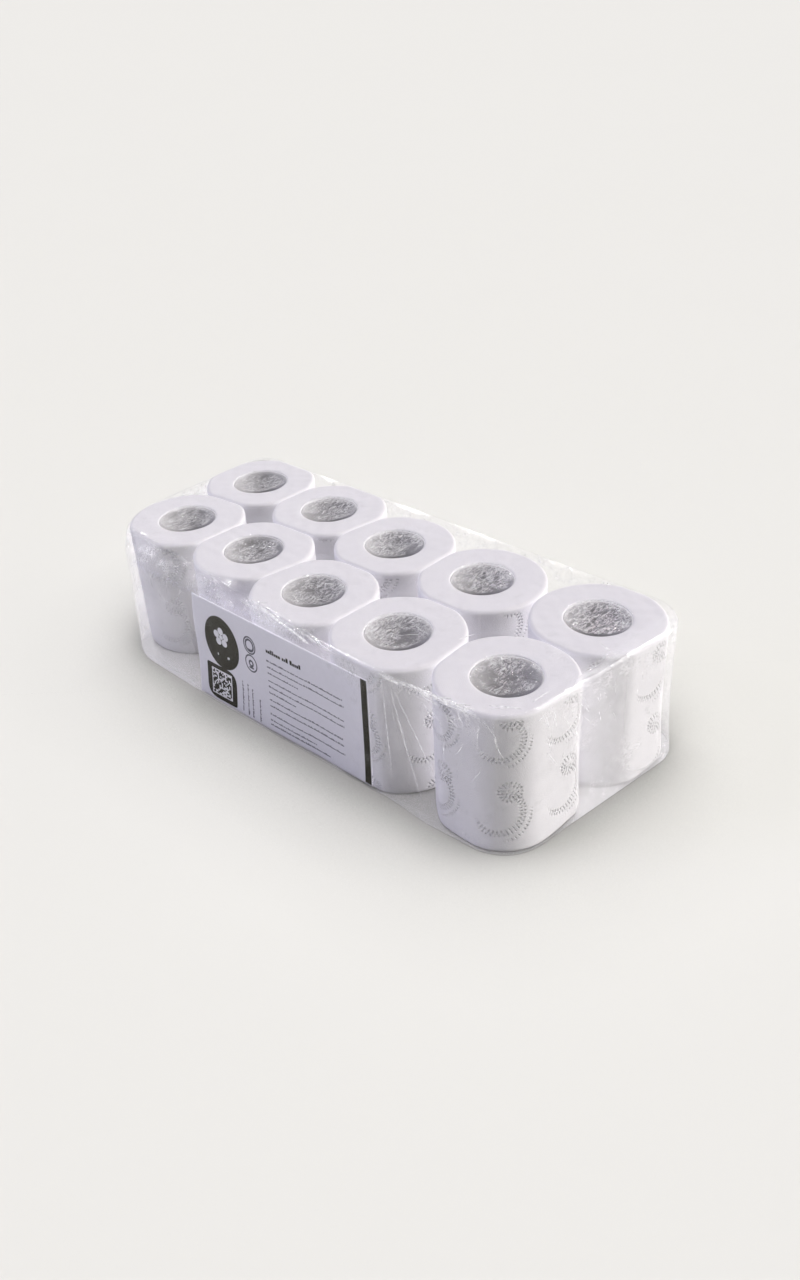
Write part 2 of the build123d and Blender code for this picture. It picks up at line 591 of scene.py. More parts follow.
def embossed_tissue(settings):
    """The outside of a roll: white tissue with rings of pressed dots, greyer where tucked in."""
    material, t, output = new_material("Embossed tissue")
    rings = t.group(dotted_rings(), {"Vector": t.surface_map()})["Height"]
    height, tone = t.fibre(1100.0)
    base = settings.tissue_colour
    paper = t.mix_colour(t.ramp(tone, 0.25, 0.75), tint(base, 0.965), tint(base))
    # Painted shade in the pressed dots: where the rings' dots lie, the paper darkens towards 0.68
    # of its colour.
    dots = t.math("MINIMUM", t.math("MULTIPLY", rings, 0.3), 0.3)
    paper = t.mix_colour(dots, paper, tint(base, 0.68))
    # Painted shade in the openings between the rows: there the paper darkens towards 0.84 of its
    # colour.
    paper = t.mix_colour(t.attribute("painted_gap_shade"), paper, tint(base, 0.84))
    relief = t.bump(rings, 1.3 * MM, 1.0, t.bump(height, 0.25 * MM, 1.0))
    t.principled(output, {
        "Base Color": paper, "Roughness": 0.95, "Specular IOR Level": 0.2, "Normal": relief,
    })
    return material


def cut_tissue_end(settings):
    """The ends of the turns: fine round lines, greyer on the flat and white over the rim."""
    material, t, output = new_material("Cut tissue end")
    reach = t.add("ShaderNodeSeparateXYZ", {0: t.surface_map()}).outputs[1]
    height, tone = t.fibre(1500.0)
    base = settings.tissue_colour
    ends = [share * channel for share, channel in zip((0.845, 0.835, 0.85), base)]
    drift = t.math("MULTIPLY", tone, 1.2)
    turns = t.math("SINE", t.math("MULTIPLY_ADD", reach, 9000.0, drift))
    normal = t.add("ShaderNodeNewGeometry").outputs["Normal"]
    facing = t.add("ShaderNodeSeparateXYZ", {0: normal}).outputs[2]
    flat = t.ramp(t.math("ABSOLUTE", facing), 0.2, 0.98)
    paper = t.mix_colour(t.ramp(tone, 0.2, 0.8), tint(ends, 0.96), tint(ends))
    paper = t.mix_colour(flat, tint(base), paper)
    relief = t.bump(t.math("MULTIPLY_ADD", turns, 0.15, height), 0.12 * MM, 0.6)
    t.principled(output, {
        "Base Color": paper, "Roughness": 0.97, "Specular IOR Level": 0.15, "Normal": relief,
    })
    return material


def roll_profile(low, high, rim):
    """The wall of a roll from the bore over the top, down the side and back under the bottom.

    Gives for each point the share of the way from the bore to the outside, how far it is held
    in from the outside, its height, and whether it belongs to the embossed side.
    """
    def run(share, held, height, side=False):
        count = max(np.size(share), np.size(height))
        return [np.broadcast_to(a, count) for a in (share, held, height, side)]

    corner = np.linspace(0, math.pi / 2, 5)[1:]
    by_sine, by_cosine = rim * (1 - np.sin(corner)), rim * (1 - np.cos(corner))
    nearest = 0.03  # where the flat ends start, next to the bore
    runs = (
        run(0.0, 0.0, np.linspace(low + 0.3 * MM, high - 0.3 * MM, 5)),
        run(np.linspace(nearest, 1, 18), rim, high),
        run(1.0, by_sine, high - by_cosine),
        run(1.0, 0.0, np.linspace(high - rim, low + rim, 64)[1:], side=True),
        run(1.0, by_cosine, low + by_sine),
        run(np.linspace(1, nearest, 7)[1:], rim, low),
    )
    return [np.concatenate(parts) for parts in zip(*runs)]


def pressed_outline(node, middle, angles):
    """A roll's reach by angle, read from the CAD node at its side and just under its top."""
    low, high = box_of(node)
    cad = points_of(node)
    above_foot = cad[:, 2] - low[2]
    side = cad[(above_foot > 0.9 * CAD_RIM) & (above_foot < 1.2 * CAD_RIM)]
    top = cad[cad[:, 2] > high[2] - 0.05 * MM]
    outline = convex_reach(side, middle, angles)
    top_outline = np.minimum(convex_reach(top, middle, angles) + CAD_RIM, outline)
    return smooth_loop(outline, 2), smooth_loop(top_outline, 3)


def ring_relief(u, v):
    """Height of the pressed rings, 0 to 1, on the same lattices as the dotted rings."""
    total = np.zeros_like(u)
    for (right, up), rings in RING_LATTICES:
        x = (u - right + 0.5) % 1 - 0.5
        y = (v - up + RING_RISE / 2) % RING_RISE - RING_RISE / 2
        total += np.exp(-(((np.hypot(x, y) - rings[0][0]) / 0.06) ** 2))
    return total


def painted_gap_shade(points):
    """How deep the paper lies in an opening between the rows, 0 to 1, most at the -X end.

    Film and four rolls keep the light out of these openings, so the paper looks greyer there.
    """
    x, y, z = points.T
    first, last = middle_of("core_front_1"), middle_of("core_front_5")
    between = (first[1] + middle_of("core_back_1")[1]) / 2
    top = box_of("roll_front_1")[1][2]
    inner = smooth_step(42 * MM, 14 * MM, np.abs(y - between))
    inner *= smooth_step(top - 1 * MM, top - 9 * MM, z)
    inner *= smooth_step(first[0], first[0] + 12 * MM, x)
    inner *= smooth_step(last[0], last[0] - 30 * MM, x)
    return inner * (0.25 + 0.75 * smooth_step(60 * MM, -40 * MM, x))


def roll_piece(node, core, number, settings, materials):
    """A wound roll: a closed profile carried round the pressed outline read from the CAD node.

    Round the roll, the reach is the CAD outline plus a spiral that ends in the tail's step.
    Across it, the cut ends wave gently and dip at the bore, the rings' relief is pressed into
    the side, and the feet of the end rolls stand out.
    """
    turns = 288
    rng = np.random.default_rng(100 + number)
    low, high = box_of(node)
    core_low, core_high = box_of(core)
    middle = (core_low + core_high)[:2] / 2
    bore = (core_high[0] - core_low[0]) / 2 + CORE_FIT
    angles = np.linspace(0, FULL_TURN, turns, endpoint=False)
    outline, top_outline = pressed_outline(node, middle, angles)
    share, held, height, side = roll_profile(low[2], high[2], settings.soft_rim)
    turn, column = np.meshgrid(np.arange(turns), np.arange(len(share)), indexing="ij")
    z = height[column]

    tail = rng.uniform(0, FULL_TURN)
    spiral = settings.turn_step * (((angles - tail) % FULL_TURN) / FULL_TURN - 1)
    near_top = smooth_step(high[2] - 16 * MM, high[2], z)
    edge = outline[turn] + (top_outline - outline)[turn] * near_top
    radius = bore + share[column] * (edge + spiral[turn] - held[column] - bore)

    # The embossing's lattice: u in pitches round the outline, v in pitches up the side.
    corners = outline * rays(angles).T
    around = np.hypot(*np.diff(corners, axis=1, append=corners[:, :1]))
    around = np.concatenate([[0], np.cumsum(around)])
    pitch = around[-1] / settings.rings_round
    u_at = around / around[-1] * settings.rings_round + (number * 0.43 + 0.16)
    v_at = height / pitch + (number * 0.29 + 0.57)
    fade = smooth_step(0, 4 * MM, z - low[2]) * smooth_step(0, 4 * MM, high[2] - z)
    relief = settings.quilt_depth * ring_relief(u_at[turn], v_at[column]) * fade
    radius -= np.where(side[column], relief, 0)

    if node in END_ROLLS:
        facing = np.clip(rays(angles) @ SPREAD_WAY, 0, 1)[turn]
        radius += settings.foot_spread * facing * foot_share(z) * share[column]
    x = middle[0] + radius * np.cos(angles[turn])
    y = middle[1] + radius * np.sin(angles[turn])
    flat = np.stack([x, y], axis=-1).reshape(-1, 2)
    wave = ripple(flat, 300 + number, 9, 9 * MM, 45 * MM).reshape(x.shape)
    on_top = smooth_step(0.5, 1.0, (z - low[2]) / (high[2] - low[2]))
    dip = smooth_step(4 * MM, 0, radius - bore) * 0.15 * MM
    drop = on_top * (settings.rim_wave * (0.8 + 0.8 * wave) + dip)
    points = np.stack([x, y, z - np.clip(drop, 0, None)], axis=-1).reshape(-1, 3)

    # The side's map is the lattice; on the ends v is the distance from the roll's middle.
    quads, corner_rows, corner_columns = grid_faces(turns, len(share), True, True)
    columns = corner_columns % len(share)
    side_face = side[columns].all(axis=1)
    v_corner = np.where(side_face[:, None], v_at[columns], radius[0, columns])
    maps = np.stack([u_at[corner_rows], v_corner], axis=-1)
    piece = quads_mesh(node + "_paper", points, quads, maps, materials, ~side_face)
    # The painted shade between the rows, read by the tissue material.
    add_attribute(piece, "painted_gap_shade", painted_gap_shade(points))
    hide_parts(node)
    return piece


# ---------------------------------------------------------------- the film's outline


class FilmShape:
    """The tight line that the film takes round the pack, and how it stands off that line.

    The line starts at the front's left corner and runs to the right. Its front and back have
    FRONT steps each and its ends END steps each. EDGE and FOOT are the radii at top and foot.
    """

    FRONT, END, ROUND_ROWS, SIDE_ROWS = 236, 104, 6, 46
    EDGE, FOOT = 2.6 * MM, 0.8 * MM
    OVER_ROLLS = 0.35 * MM

    def __init__(self):
        self.low, self.high = box_of("film_wrap")
        self.top = self.high[2] + self.OVER_ROLLS
        centre = (self.low + self.high)[:2] / 2
        cad = points_of("film_wrap")
        foot = cad[(cad[:, 2] > 1.2 * MM) & (cad[:, 2] < 1.7 * MM)]
        angles = np.linspace(0, FULL_TURN, 3600, endpoint=False)
        line = centre + convex_reach(foot, centre, angles)[:, None] * rays(angles)
        corners = ((-1, -1), (1, -1), (1, 1), (-1, 1))
        starts = [int(np.argmax(line @ np.array(way))) for way in corners]
        line = np.roll(line, -starts[0], axis=0)
        starts = [(s - starts[0]) % len(line) for s in starts] + [len(line)]
        line = np.concatenate([line, line[:1]])
        runs = []
        for first, last, count in zip(starts, starts[1:], (self.FRONT, self.END) * 2):
            part = line[first : last + 1]
            lengths = np.linalg.norm(np.diff(part, axis=0), axis=1)
            gone = np.concatenate([[0], np.cumsum(lengths)])
            steps = np.linspace(0, gone[-1], count, endpoint=False)
            runs.append(np.stack([np.interp(steps, gone, part[:, k]) for k in (0, 1)], axis=-1))
        self.line = np.concatenate(runs)
        along = np.roll(self.line, -1, axis=0) - np.roll(self.line, 1, axis=0)
        outward = np.stack([along[:, 1], -along[:, 0]], axis=-1)
        outward = smooth_loop(outward / np.linalg.norm(outward, axis=1, keepdims=True), 3)
        self.outward = outward / np.linalg.norm(outward, axis=1, keepdims=True)
        self.shoulder_point, self.shoulder_normal = self.shoulder()

    def shoulder(self):
        """A point and the upward normal of the slope from the label's corner to the roll rims."""
        label_low, label_high = box_of("label")
        rims = []
        for n in (2, 4):
            front = box_of(f"roll_front_{n}")[0][1]
            rims.append(np.array([middle_of(f"core_front_{n}")[0], front, self.high[2]]))
        corner = np.array([label_low[0], label_low[1] - 0.45 * MM, label_high[2]])
        normal = np.cross(corner - rims[0], rims[1] - rims[0])
        return rims[0], normal / np.linalg.norm(normal)

    def lean(self, x, z):
        """How far the front stands out at its foot, most at its left end."""
        settings = bpy.context.scene.pack_label
        label_low, label_high = box_of("label")
        left = smooth_step(label_high[0], label_low[0], x)
        rise = np.clip((z - self.low[2]) / (label_high[2] - self.low[2]), 0, 1.15)
        foot = (1 - np.clip(rise * 2.2, 0, 1)) ** 2 * (0.5 + 0.5 * left)
        return settings.lean * left * np.clip(1 - 2 * rise, 0, 1) + settings.foot * foot

    def tuck(self, x, outward, z):
        """How far the film is drawn in at the left end: at its foot, and at its top corners."""
        end = smooth_step(-100 * MM, -200 * MM, x) * np.clip(-outward[..., 0], 0, 1)
        corner = np.clip(-outward.sum(axis=-1) * 0.707, 0, 1)
        corner = smooth_step(-155 * MM, -190 * MM, x) * corner
        high = smooth_step(30 * MM, 90 * MM, z)
        return 4.5 * MM * foot_share(z) * end + 4.0 * MM * high * corner**2

    def skin(self, line, outward, z):
        """Where the film lies at height z off this point of the tight line.

        It rounds over at the top and at the foot, leans with the label, spreads with the feet
        of the rolls at the right end, is tucked in at the left end, and stays under the
        shoulder's slope.
        """
        x = line[..., 0]
        up = np.clip((z - self.top + self.EDGE) / self.EDGE, 0, 1)
        down = np.clip((self.low[2] + self.FOOT - z) / self.FOOT, 0, 1)
        held = self.EDGE * (1 - np.sqrt(1 - up**2)) + self.FOOT * (1 - np.sqrt(1 - down**2))
        front = smooth_step(-0.3, -0.8, outward[..., 1])
        right = smooth_step(100 * MM, 150 * MM, x) * np.clip(outward @ SPREAD_WAY, 0, 1)
        spread = bpy.context.scene.pack_rolls.foot_spread * 1.05 * foot_share(z) * right
        out = self.lean(x, z) * front + spread - self.tuck(x, outward, z) - held
        place = line + outward * out[..., None]
        point, normal = self.shoulder_point, self.shoulder_normal
        beyond = place @ normal[:2] + z * normal[2] - point @ normal
        facing = outward @ normal[:2]
        pull = np.where(facing > 0.2, np.maximum(beyond, 0) / np.maximum(facing, 0.2), 0)
        return place - outward * pull[..., None]

    def on_side(self, stretch, axis, at, z):
        """A point of the film's side and its outward way, found by one floor coordinate."""
        line, outward = self.line[stretch], self.outward[stretch]
        flat, way = (
            np.array([np.interp(at, line[:, axis], part[:, k]) for k in (0, 1)])
            for part in (line, outward)
        )
        place = self.skin(flat[None], way[None], np.array([z]))[0]
        return np.array([*place, z]), np.array([*way, 0.0])

    def on_front(self, x, z):
        return self.on_side(slice(0, self.FRONT), 0, x, z)

    def on_end(self, y, z):
        return self.on_side(slice(self.FRONT, self.FRONT + self.END), 1, y, z)


def film_band(shape):
    """The film's side, before its wrinkles: points and outward ways, one row for each height.

    The rows close up where the film rounds over at its top edge and at its foot. The top and
    the bottom are patches between the opposite stretches of the first and the last row.
    """
    edge, foot = shape.EDGE, shape.FOOT
    low, high = shape.low[2], shape.top
    corner = np.linspace(0, math.pi / 2, shape.ROUND_ROWS)
    sides = np.linspace(high - edge, low + foot, shape.SIDE_ROWS)[1:-1]
    over, under = high - edge + edge * np.cos(corner), low + foot - foot * np.sin(corner)
    height = np.concatenate([over, sides, under])
    tilt = np.concatenate([math.pi / 2 - corner, np.zeros(len(sides)), -corner])
    line = np.repeat(shape.line[None], len(height), axis=0)
    outward = np.repeat(shape.outward[None], len(height), axis=0)
    z = np.repeat(height[:, None], line.shape[1], axis=1)
    band = np.concatenate([shape.skin(line, outward, z), z[..., None]], axis=-1)
    sine, cosine = np.sin(tilt)[:, None, None], np.cos(tilt)[:, None, None]
    ways = np.concatenate([outward * cosine, np.broadcast_to(sine, z.shape + (1,))], axis=-1)
    return band, ways


def patch(shape, ring):
    """Points inside a closed ring, each the even blend of the ring's four stretches."""
    nu, nv = shape.FRONT, shape.END
    loop = np.concatenate([ring, ring[:1]])
    front = loop[: nu + 1]
    right = loop[nu : nu + nv + 1]
    back = loop[nu + nv : 2 * nu + nv + 1][::-1]
    left = loop[2 * nu + nv :][::-1]
    u = np.linspace(0, 1, nu + 1)[:, None, None]
    v = np.linspace(0, 1, nv + 1)[None, :, None]
    across = (1 - v) * front[:, None] + v * back[:, None]
    along = (1 - u) * left[None] + u * right[None]
    near, far = ((1 - v) * front[k] + v * back[k] for k in (0, -1))
    return across + along - ((1 - u) * near + u * far)


def ring_index(shape):
    """Where the ring's points lie in a patch's grid, in the ring's own order."""
    nu, nv = shape.FRONT, shape.END
    wide = nv + 1
    front = np.arange(nu) * wide
    right = nu * wide + np.arange(nv)
    back = np.arange(nu, 0, -1) * wide + nv
    left = np.arange(nv, 0, -1)
    return np.concatenate([front, right, back, left])


def top_sag(points, settings):
    """How far the film dips: as a bowl over each bore, and evenly far from all the cores."""
    away = from_cores(points)
    core_low, core_high = box_of(CORE_NAMES[0])
    bore = (core_high[0] - core_low[0]) / 2
    over_bore = np.clip(1 - (away / bore) ** 2, 0, 1)
    between = smooth_step(43.5 * MM, 58 * MM, away)
    return settings.bore_sag * over_bore + settings.gap_sag * between


def looseness(shape, points):
    """How slack the film is, 0 to 1: most over the bores, then along rims and between rolls."""
    away = from_cores(points)
    x, y, z = points.T
    top = shape.high[2]
    label_low, label_high = box_of("label")
    bore = smooth_step(25 * MM, 20 * MM, away)
    between = 0.26 * smooth_step(38 * MM, 50 * MM, away)
    on_top = smooth_step(top - 3 * MM, top - 0.6 * MM, z)
    by_label = smooth_step(label_high[0] + 4 * MM, label_high[0], x)
    by_label *= smooth_step(label_low[0] - 4 * MM, label_low[0], x)
    by_label *= smooth_step(label_high[1], label_high[1] - 4 * MM, y)
    by_label *= smooth_step(label_high[2] + 3 * MM, label_high[2] - 2 * MM, z)
    rim = smooth_step(top - 30 * MM, top - 4 * MM, z)
    side = (0.22 + 0.45 * rim) * (1 - by_label) + 0.05 * by_label
    return on_top * np.maximum(np.maximum(bore, between), 0.16) + (1 - on_top) * side


def veil(shape, points):
    """Extra milkiness where the film lies doubled; below 0 on the label, where it clings.

    It shows at the right end, round the far end, left of the label under a slanting edge, and
    along the foot wherever the label isn't.
    """
    x, y, z = points.T
    top = shape.high[2]
    label_low, label_high = box_of("label")
    right = smooth_step(196 * MM, 206 * MM, x) * smooth_step(-36 * MM, -10 * MM, y)
    right *= 0.16 + 0.28 * smooth_step(45 * MM, -5 * MM, y)
    far = smooth_step(-176 * MM, -200 * MM, x) * smooth_step(top - 2 * MM, top - 10 * MM, z)
    left = smooth_step(label_low[0] - 2 * MM, label_low[0] - 12 * MM, x)
    left *= smooth_step(-40 * MM, -70 * MM, y)
    slant = smooth_step(10 * MM, -6 * MM, z - 78 * MM - 0.35 * (x - label_low[0]))
    past_ends = np.maximum(
        smooth_step(label_low[0], label_low[0] - 4 * MM, x),
        smooth_step(label_high[0], label_high[0] + 4 * MM, x),
    )
    behind = smooth_step(label_high[1], label_high[1] + 4 * MM, y)
    foot = smooth_step(14 * MM, 1 * MM, z) * np.maximum(past_ends, behind)
    on_label = (1 - past_ends) * smooth_step(label_high[1] + 4 * MM, label_high[1], y)
    doubled = right + 0.16 * left * slant + 0.27 * far + 0.13 * foot
    return np.clip(doubled, 0, 0.46) - 0.024 * on_label * (z < label_high[2])


def film_creases(shape, points, settings):
    """Tension creases: ridges from the last front gap and the pack's corners, and across it.

    Each is a start, an end, a width in millimetres and a height in wrinkles.
    """
    rng = np.random.default_rng(7)
    (x0, y0, z0), (x1, y1, z1) = shape.low, shape.high
    gap_x = last_front_gap()
    front_y = (box_of("label")[1][1] + box_of("roll_front_5")[0][1]) / 2
    runs = []
    pinch = np.array([gap_x - 18 * MM, front_y, z1])
    for k in range(9):
        along, rise = (k * 9 - 26) * MM, (8 + 6 * (k % 3)) * MM
        foot = np.array([gap_x + along, front_y + 3 * MM, z0 + rise])
        runs.append((pinch, pinch + (foot - pinch) * rng.uniform(0.55, 1.0), 1.6, 0.6))
    inset = 14 * MM
    for cx, cy in ((x1, y1), (x1, y0 + 12 * MM), (x0, y1), (x0 + 8 * MM, y0 + 8 * MM)):
        sx, sy = np.sign(cx), np.sign(cy)
        for _ in range(11):
            z = z1 - rng.uniform(0, 12) * MM
            start = np.array([cx - sx * inset, cy - sy * inset, z])
            run = [-sx * rng.uniform(-6, 34), -sy * rng.uniform(-6, 34), -rng.uniform(4, 48)]
            end = start + np.array(run) * MM
            runs.append((start, end, rng.uniform(1.1, 2.2), rng.uniform(0.6, 1.4)))
    for _ in range(70):
        x = rng.uniform(x0 + 20 * MM, x1 - 20 * MM)
        y = rng.uniform(y0 + 10 * MM, y1 - 10 * MM)
        turn = rng.normal(0.25, 0.7)
        run = np.array([math.cos(turn), math.sin(turn), 0]) * rng.uniform(12, 46) * MM
        middle = np.array([x, y, z1])
        width, height = rng.uniform(1.0, 1.8), rng.uniform(-0.8, 0.9)
        runs.append((middle - run, middle + run, width, height))
    total = np.zeros(len(points))
    for start, end, width, height in runs:
        total += crease(points, start, end, width * MM, height * settings.wrinkle)
    return total


# ---------------------------------------------------------------- the film


def milk(t, colour, through_share, **bump):
    """White film: part of its light comes back from it, and part goes through."""
    back = t.add("ShaderNodeBsdfDiffuse", {"Color": tint(colour), **bump}).outputs[0]
    through = t.add("ShaderNodeBsdfTranslucent", {"Color": tint(colour)}).outputs[0]
    return t.mix_shader(through_share, back, through)


def lit_through(t, film, clear):
    """The film, swapped for clear where light on its way to the rolls meets it."""
    path = t.add("ShaderNodeLightPath").outputs
    unseen = t.math("MAXIMUM", path["Is Shadow Ray"], path["Is Diffuse Ray"])
    return t.mix_shader(unseen, film, clear)


def film_material(settings):
    """Clear film: a glossy skin over see-through, with faint haze and crinkled white lines."""
    material, t, output = new_material("Clear film")
    loose, doubled = t.attribute("loose"), t.attribute("veil")
    crinkle = t.group(film_crinkles(), {"Vector": t.object_place(), "Loose": loose})
    depth = t.math("MULTIPLY_ADD", loose, 0.36, 0.12)
    normal = t.bump(crinkle["Height"], 1.6 * MM, depth)
    gain = t.math("MULTIPLY_ADD", loose, 0.56, 0.03)
    haze = t.math("ADD", doubled, settings.haze)
    haze = t.math("MULTIPLY_ADD", crinkle["Lines"], gain, haze)
    gloss = t.add("ShaderNodeFresnel", {"IOR": 1.2, "Normal": normal}).outputs[0]
    gloss = t.math("MINIMUM", gloss, 0.26)
    clear = t.add("ShaderNodeBsdfTransparent", {"Color": (1, 1, 1, 1)}).outputs[0]
    white = milk(t, (0.88, 0.87, 0.9), 0.2, Normal=normal)
    shine = {"Color": (1, 1, 1, 1), "Roughness": 0.1, "Normal": normal}
    shine = t.add("ShaderNodeBsdfAnisotropic", shine).outputs[0]
    skin = t.mix_shader(gloss, t.mix_shader(haze, clear, white), shine)
    t.finish(lit_through(t, skin, clear), output)
    return material


def fold_material():
    """Film gathered in a fold: the same film several times over, so it looks white."""
    material, t, output = new_material("Gathered film")
    patchy = t.ramp(t.noise(t.object_place(), 260.0, detail=3.0, roughness=0.6), 0.38, 0.66)
    cover = t.math("MULTIPLY_ADD", patchy, 0.6, 0.22)
    clear = t.add("ShaderNodeBsdfTransparent", {"Color": (1, 1, 1, 1)}).outputs[0]
    body = t.mix_shader(cover, clear, milk(t, (0.95, 0.95, 0.96), 0.5))
    t.finish(lit_through(t, body, clear), output)
    return material


def film_piece(settings, material):
    """The film: side band, top patch and bottom patch joined along shared rings.

    Its points move along their outward ways by ripples and creases, and the top sags.
    """
    shape = FilmShape()
    band, band_way = film_band(shape)
    top, bottom = patch(shape, band[0]), patch(shape, band[-1])
    top_count = (shape.FRONT + 1) * (shape.END + 1)
    ring = ring_index(shape)
    loop = len(ring)
    middle_rings = band[1:-1].reshape(-1, 3)
    bottom_start = top_count + len(middle_rings)
    tight = np.concatenate([top.reshape(-1, 3), middle_rings, bottom.reshape(-1, 3)])
    ways = np.concatenate([
        np.broadcast_to(UP, (top_count, 3)),
        band_way[1:-1].reshape(-1, 3),
        np.broadcast_to(-UP, (top_count, 3)),
    ])
    ring_rows = [top_count + k * loop + np.arange(loop) for k in range(len(band) - 2)]
    ring_rows = np.array([ring, *ring_rows, bottom_start + ring])
    _, rows, columns = grid_faces(len(band), loop, False, True)
    top_quads, _, _ = grid_faces(shape.FRONT + 1, shape.END + 1)
    bottom_quads = top_quads[:, ::-1] + bottom_start
    quads = np.concatenate([top_quads, ring_rows[rows, columns % loop], bottom_quads])

    move = settings.wrinkle * 0.5 * ripple(tight, 21, 14, 7 * MM, 30 * MM)
    move += film_creases(shape, tight, settings)
    move *= smooth_step(0, 6 * MM, tight[:, 2] - shape.low[2])
    move[bottom_start:] = 0
    points = tight + ways * move[:, None]
    points[:top_count, 2] -= top_sag(points[:top_count], settings)
    points[:, 2] = np.maximum(points[:, 2], shape.low[2])
    maps = np.stack([points[quads, 0] + points[quads, 1] * 0.5, points[quads, 2]], axis=-1)
    piece = quads_mesh("clear_film", points, quads, maps, [material])
    add_attribute(piece, "loose", looseness(shape, tight))
    add_attribute(piece, "veil", veil(shape, tight))
    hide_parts("film_wrap")
    return piece


class FilmFolds(Patches):
    """Pinched folds of film: slim closed lenses that lie along straight runs on the film.

    Along a fold its width and height follow a half sine, so both tips close to points. Across
    it they follow a circle, flattened to a low ridge.
    """

    ALONG, AROUND = 12, 6
    HEIGHT, OFF_FILM = 0.04 * MM, 0.1 * MM

    def add(self, start, end, away, width, bow=0.0):
        """One fold from start to end, on a face that looks along away; bow bends it sideways."""
        t = np.linspace(0.0, 1.0, self.ALONG)[:, None]
        run = end - start
        across = np.cross(away, run)
        across /= np.linalg.norm(across)
        middle = start + t * run + across * (np.sin(np.pi * t) * bow)
        full = np.sin(np.pi * (0.02 + 0.96 * t))[:, :, None] ** 0.6
        turn = np.linspace(0, FULL_TURN, self.AROUND, endpoint=False)[None, :, None]
        side = full * width * np.cos(turn) * across
        rise = full * self.HEIGHT * (1 + np.sin(turn)) * away
        quads, _, _ = grid_faces(self.ALONG, self.AROUND, False, True)
        self.take(middle[:, None] + side + rise + self.OFF_FILM * away, quads[:, ::-1])

    def between(self, first, last, width, bow=0.0):
        """One fold between two (point, way) pairs of the film's side."""
        way = first[1] + last[1]
        self.add(first[0], last[0], way / np.linalg.norm(way), width, bow)


# Gathered film along the front's rim: from and to along X, count of folds, width.
RIM_GATHERS = (
    (105 * MM, 172 * MM, 60, 0.5 * MM),
    (-35 * MM, 56 * MM, 70, 0.45 * MM),
    (-190 * MM, -140 * MM, 26, 0.25 * MM),
    (-120 * MM, -60 * MM, 34, 0.3 * MM),
)
# Long folds under the front's rim, in millimetres: start along X and how far under the top,
# end along X and how far under the top, width.
RIM_FOLDS = (
    (128, 0.6, 150, 1.2, 1.1),
    (134, 0.9, 166, 0.9, 1.0),
    (143, 0.6, 176, 1.4, 0.6),
    (-12, 1.0, 30, 3.2, 0.8),
    (6, 1.8, 44, 5.0, 0.7),
    (-30, 0.5, 4, 1.2, 0.5),
)
# Folds on the top, in millimetres: start along X and Y, reach along X and Y, width.
TOP_FOLDS = (
    (197, -52, 1, 16, 0.5),
    (180, -71, 17, 10, 0.7),
    (183, -73, 12, 12, 0.4),
    (120, -30, 4, 12, 0.4),
    (205, 20, -16, 5, 0.35),
    (85, -55, 14, 16, 0.3),
)


def film_folds(material):
    """A fan of folds at the last front gap, gathers along the rims, and short loose folds."""
    shape = FilmShape()
    folds = FilmFolds()
    rng = np.random.default_rng(5)
    top = shape.high[2]
    gap_x = last_front_gap()
    for k in range(5):
        start = shape.on_front(gap_x + (2.0 * k - 17) * MM, top - (2.5 + 0.9 * k) * MM)
        end = shape.on_front(gap_x + (9.0 * k - 12) * MM, top - rng.uniform(45, 88) * MM)
        folds.between(start, end, rng.uniform(0.1, 0.26) * MM, rng.normal(0, 0.8) * MM)
    for first, last, count, width in RIM_GATHERS:
        for _ in range(count):
            at = rng.uniform(first, last)
            level = top - abs(rng.normal(0, 1.5)) * MM - 0.2 * MM
            past = at + rng.uniform(4, 16) * MM
            end = shape.on_front(past, level - rng.normal(0, 1.0) * MM - 0.4 * MM)
            folds.between(shape.on_front(at, level), end, rng.uniform(0.3, 1.0) * width)
    for first, drop, last, low_drop, width in RIM_FOLDS:
        start = shape.on_front(first * MM, top - drop * MM)
        end = shape.on_front(last * MM, top - low_drop * MM)
        folds.between(start, end, width * MM, 0.4 * MM)
    for x, y, reach_x, reach_y, width in TOP_FOLDS:
        start = np.array([x * MM, y * MM, top + 0.3 * MM])
        reach = np.array([reach_x, reach_y, 0.0]) * MM
        folds.add(start, start + reach, UP, width * MM, 0.5 * MM)
    loose_ones = (
        (shape.on_end, -50 * MM, 85 * MM, 44),
        (shape.on_front, 135 * MM, 190 * MM, 22),
        (shape.on_front, -190 * MM, -90 * MM, 30),
    )
    for place, first, last, count in loose_ones:
        for _ in range(count):
            at = rng.uniform(first, last)
            level = max(top - 3 * MM - abs(rng.normal(0, 22)) * MM, 10 * MM)
            slant, drop = rng.normal(2, 7) * MM, rng.uniform(3, 18) * MM
            end = place(at + slant, max(level - drop, 4 * MM))
            width, bow = rng.uniform(0.1, 0.32) * MM, rng.normal(0, 0.6) * MM
            folds.between(place(at, level), end, width, bow)
    return folds.piece("film_folds", material, "clear_film")


# ---------------------------------------------------------------- label


